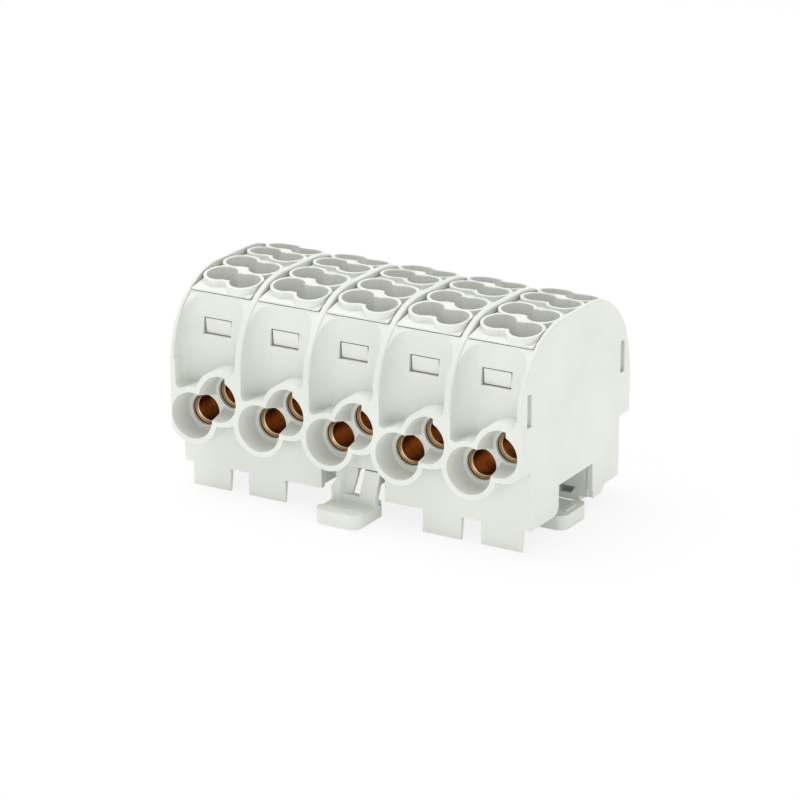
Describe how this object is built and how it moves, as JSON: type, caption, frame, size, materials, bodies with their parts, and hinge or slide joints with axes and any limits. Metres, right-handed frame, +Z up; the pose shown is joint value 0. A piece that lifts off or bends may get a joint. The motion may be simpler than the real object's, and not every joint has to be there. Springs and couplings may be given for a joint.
{
  "type": "power distribution block",
  "caption": "Light grey rail-mounted power distribution block with rounded ribs, snap-in covers over paired screw wells, wire funnels to brass bores and two sprung rail latches.",
  "frame": {"origin": "under the middle pole, half way between the front and back walls, level with the tips of the feet and under the crossing of both rail centre lines", "axes": "+X along the row of poles towards the side latch, +Y towards the back, +Z up; the wire side with the front latch faces -Y"},
  "size_m": [0.0906, 0.0539, 0.0498],
  "materials": {
    "housing_plastic": "fine matt moulded, light grey",
    "floor_plastic": "fine matt moulded, light grey",
    "latch_plastic": "smooth moulded, light grey",
    "cover_plastic": "fine matt moulded, light grey",
    "terminal_brass": "drilled and chamfered, bright",
    "screw_steel": "zinc plated"
  },
  "bodies": {
    "block": {"housing": "housing_plastic", "floor_plate": "floor_plastic", "cover_1": "cover_plastic", "cover_2": "cover_plastic", "cover_3": "cover_plastic", "cover_4": "cover_plastic", "cover_5": "cover_plastic", "terminal_body_1": "terminal_brass", "terminal_body_2": "terminal_brass", "terminal_body_3": "terminal_brass", "terminal_body_4": "terminal_brass", "terminal_body_5": "terminal_brass"},
    "front_latch": {"rail_latch_front": "latch_plastic"},
    "side_latch": {"rail_latch_side": "latch_plastic"},
    "screw_1a1": {"clamp_screw_1a1": "screw_steel"},
    "screw_1a2": {"clamp_screw_1a2": "screw_steel"},
    "screw_1a3": {"clamp_screw_1a3": "screw_steel"},
    "screw_1a4": {"clamp_screw_1a4": "screw_steel"},
    "screw_1b1": {"clamp_screw_1b1": "screw_steel"},
    "screw_1b2": {"clamp_screw_1b2": "screw_steel"},
    "screw_1b3": {"clamp_screw_1b3": "screw_steel"},
    "screw_1b4": {"clamp_screw_1b4": "screw_steel"},
    "screw_2a1": {"clamp_screw_2a1": "screw_steel"},
    "screw_2a2": {"clamp_screw_2a2": "screw_steel"},
    "screw_2a3": {"clamp_screw_2a3": "screw_steel"},
    "screw_2a4": {"clamp_screw_2a4": "screw_steel"},
    "screw_2b1": {"clamp_screw_2b1": "screw_steel"},
    "screw_2b2": {"clamp_screw_2b2": "screw_steel"},
    "screw_2b3": {"clamp_screw_2b3": "screw_steel"},
    "screw_2b4": {"clamp_screw_2b4": "screw_steel"},
    "screw_3a1": {"clamp_screw_3a1": "screw_steel"},
    "screw_3a2": {"clamp_screw_3a2": "screw_steel"},
    "screw_3a3": {"clamp_screw_3a3": "screw_steel"},
    "screw_3a4": {"clamp_screw_3a4": "screw_steel"},
    "screw_3b1": {"clamp_screw_3b1": "screw_steel"},
    "screw_3b2": {"clamp_screw_3b2": "screw_steel"},
    "screw_3b3": {"clamp_screw_3b3": "screw_steel"},
    "screw_3b4": {"clamp_screw_3b4": "screw_steel"},
    "screw_4a1": {"clamp_screw_4a1": "screw_steel"},
    "screw_4a2": {"clamp_screw_4a2": "screw_steel"},
    "screw_4a3": {"clamp_screw_4a3": "screw_steel"},
    "screw_4a4": {"clamp_screw_4a4": "screw_steel"},
    "screw_4b1": {"clamp_screw_4b1": "screw_steel"},
    "screw_4b2": {"clamp_screw_4b2": "screw_steel"},
    "screw_4b3": {"clamp_screw_4b3": "screw_steel"},
    "screw_4b4": {"clamp_screw_4b4": "screw_steel"},
    "screw_5a1": {"clamp_screw_5a1": "screw_steel"},
    "screw_5a2": {"clamp_screw_5a2": "screw_steel"},
    "screw_5a3": {"clamp_screw_5a3": "screw_steel"},
    "screw_5a4": {"clamp_screw_5a4": "screw_steel"},
    "screw_5b1": {"clamp_screw_5b1": "screw_steel"},
    "screw_5b2": {"clamp_screw_5b2": "screw_steel"},
    "screw_5b3": {"clamp_screw_5b3": "screw_steel"},
    "screw_5b4": {"clamp_screw_5b4": "screw_steel"}
  },
  "joints": [
    {"name": "front_latch_slide", "type": "slide", "parent": "block", "child": "front_latch", "axis": [0, -1, 0], "range_m": [0, 0.003], "stiffness_N_per_m": 1500, "springref_m": -0.001},
    {"name": "side_latch_slide", "type": "slide", "parent": "block", "child": "side_latch", "axis": [1, 0, 0], "range_m": [0, 0.003], "stiffness_N_per_m": 1500, "springref_m": -0.001},
    {"name": "screw_1a1_feed", "type": "slide", "parent": "block", "child": "screw_1a1", "axis": [0, 0, -1], "range_m": [0, 0.0045]},
    {"name": "screw_1a2_feed", "type": "slide", "parent": "block", "child": "screw_1a2", "axis": [0, 0, -1], "range_m": [0, 0.0045]},
    {"name": "screw_1a3_feed", "type": "slide", "parent": "block", "child": "screw_1a3", "axis": [0, 0, -1], "range_m": [0, 0.0045]},
    {"name": "screw_1a4_feed", "type": "slide", "parent": "block", "child": "screw_1a4", "axis": [0, 0, -1], "range_m": [0, 0.0045]},
    {"name": "screw_1b1_feed", "type": "slide", "parent": "block", "child": "screw_1b1", "axis": [0, 0, -1], "range_m": [0, 0.0045]},
    {"name": "screw_1b2_feed", "type": "slide", "parent": "block", "child": "screw_1b2", "axis": [0, 0, -1], "range_m": [0, 0.0045]},
    {"name": "screw_1b3_feed", "type": "slide", "parent": "block", "child": "screw_1b3", "axis": [0, 0, -1], "range_m": [0, 0.0045]},
    {"name": "screw_1b4_feed", "type": "slide", "parent": "block", "child": "screw_1b4", "axis": [0, 0, -1], "range_m": [0, 0.0045]},
    {"name": "screw_2a1_feed", "type": "slide", "parent": "block", "child": "screw_2a1", "axis": [0, 0, -1], "range_m": [0, 0.0045]},
    {"name": "screw_2a2_feed", "type": "slide", "parent": "block", "child": "screw_2a2", "axis": [0, 0, -1], "range_m": [0, 0.0045]},
    {"name": "screw_2a3_feed", "type": "slide", "parent": "block", "child": "screw_2a3", "axis": [0, 0, -1], "range_m": [0, 0.0045]},
    {"name": "screw_2a4_feed", "type": "slide", "parent": "block", "child": "screw_2a4", "axis": [0, 0, -1], "range_m": [0, 0.0045]},
    {"name": "screw_2b1_feed", "type": "slide", "parent": "block", "child": "screw_2b1", "axis": [0, 0, -1], "range_m": [0, 0.0045]},
    {"name": "screw_2b2_feed", "type": "slide", "parent": "block", "child": "screw_2b2", "axis": [0, 0, -1], "range_m": [0, 0.0045]},
    {"name": "screw_2b3_feed", "type": "slide", "parent": "block", "child": "screw_2b3", "axis": [0, 0, -1], "range_m": [0, 0.0045]},
    {"name": "screw_2b4_feed", "type": "slide", "parent": "block", "child": "screw_2b4", "axis": [0, 0, -1], "range_m": [0, 0.0045]},
    {"name": "screw_3a1_feed", "type": "slide", "parent": "block", "child": "screw_3a1", "axis": [0, 0, -1], "range_m": [0, 0.0045]},
    {"name": "screw_3a2_feed", "type": "slide", "parent": "block", "child": "screw_3a2", "axis": [0, 0, -1], "range_m": [0, 0.0045]},
    {"name": "screw_3a3_feed", "type": "slide", "parent": "block", "child": "screw_3a3", "axis": [0, 0, -1], "range_m": [0, 0.0045]},
    {"name": "screw_3a4_feed", "type": "slide", "parent": "block", "child": "screw_3a4", "axis": [0, 0, -1], "range_m": [0, 0.0045]},
    {"name": "screw_3b1_feed", "type": "slide", "parent": "block", "child": "screw_3b1", "axis": [0, 0, -1], "range_m": [0, 0.0045]},
    {"name": "screw_3b2_feed", "type": "slide", "parent": "block", "child": "screw_3b2", "axis": [0, 0, -1], "range_m": [0, 0.0045]},
    {"name": "screw_3b3_feed", "type": "slide", "parent": "block", "child": "screw_3b3", "axis": [0, 0, -1], "range_m": [0, 0.0045]},
    {"name": "screw_3b4_feed", "type": "slide", "parent": "block", "child": "screw_3b4", "axis": [0, 0, -1], "range_m": [0, 0.0045]},
    {"name": "screw_4a1_feed", "type": "slide", "parent": "block", "child": "screw_4a1", "axis": [0, 0, -1], "range_m": [0, 0.0045]},
    {"name": "screw_4a2_feed", "type": "slide", "parent": "block", "child": "screw_4a2", "axis": [0, 0, -1], "range_m": [0, 0.0045]},
    {"name": "screw_4a3_feed", "type": "slide", "parent": "block", "child": "screw_4a3", "axis": [0, 0, -1], "range_m": [0, 0.0045]},
    {"name": "screw_4a4_feed", "type": "slide", "parent": "block", "child": "screw_4a4", "axis": [0, 0, -1], "range_m": [0, 0.0045]},
    {"name": "screw_4b1_feed", "type": "slide", "parent": "block", "child": "screw_4b1", "axis": [0, 0, -1], "range_m": [0, 0.0045]},
    {"name": "screw_4b2_feed", "type": "slide", "parent": "block", "child": "screw_4b2", "axis": [0, 0, -1], "range_m": [0, 0.0045]},
    {"name": "screw_4b3_feed", "type": "slide", "parent": "block", "child": "screw_4b3", "axis": [0, 0, -1], "range_m": [0, 0.0045]},
    {"name": "screw_4b4_feed", "type": "slide", "parent": "block", "child": "screw_4b4", "axis": [0, 0, -1], "range_m": [0, 0.0045]},
    {"name": "screw_5a1_feed", "type": "slide", "parent": "block", "child": "screw_5a1", "axis": [0, 0, -1], "range_m": [0, 0.0045]},
    {"name": "screw_5a2_feed", "type": "slide", "parent": "block", "child": "screw_5a2", "axis": [0, 0, -1], "range_m": [0, 0.0045]},
    {"name": "screw_5a3_feed", "type": "slide", "parent": "block", "child": "screw_5a3", "axis": [0, 0, -1], "range_m": [0, 0.0045]},
    {"name": "screw_5a4_feed", "type": "slide", "parent": "block", "child": "screw_5a4", "axis": [0, 0, -1], "range_m": [0, 0.0045]},
    {"name": "screw_5b1_feed", "type": "slide", "parent": "block", "child": "screw_5b1", "axis": [0, 0, -1], "range_m": [0, 0.0045]},
    {"name": "screw_5b2_feed", "type": "slide", "parent": "block", "child": "screw_5b2", "axis": [0, 0, -1], "range_m": [0, 0.0045]},
    {"name": "screw_5b3_feed", "type": "slide", "parent": "block", "child": "screw_5b3", "axis": [0, 0, -1], "range_m": [0, 0.0045]},
    {"name": "screw_5b4_feed", "type": "slide", "parent": "block", "child": "screw_5b4", "axis": [0, 0, -1], "range_m": [0, 0.0045]}
  ]
}
